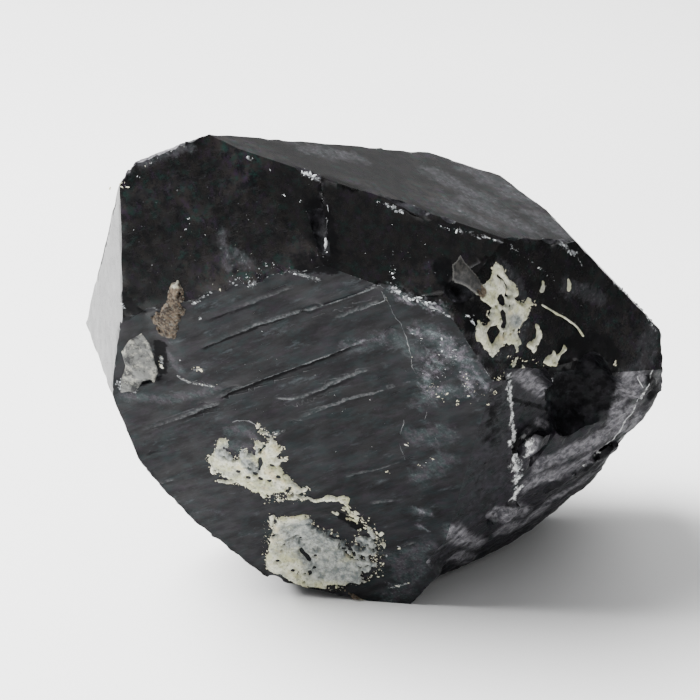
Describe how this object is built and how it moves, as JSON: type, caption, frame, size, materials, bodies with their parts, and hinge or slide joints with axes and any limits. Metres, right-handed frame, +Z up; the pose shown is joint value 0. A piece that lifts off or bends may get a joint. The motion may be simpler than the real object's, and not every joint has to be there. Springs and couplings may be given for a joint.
{
  "type": "morion quartz cluster",
  "caption": "Stout smoky-black quartz crystal with a chisel tip, small crystals grown on its back and a broken base, resting on a flat of that break.",
  "frame": {"origin": "on the surface the cluster rests on, under the middle of its box", "axes": "+Z up, -Y towards the broad striated side seen in the picture, +X to that view's right"},
  "size_m": [0.0928, 0.084, 0.0846],
  "materials": {
    "morion": "glassy black quartz, satin on the striated side",
    "pale_crust": "matt, granular, cream"
  },
  "bodies": {
    "root": {"crystal_cluster": "morion"}
  },
  "joints": []
}
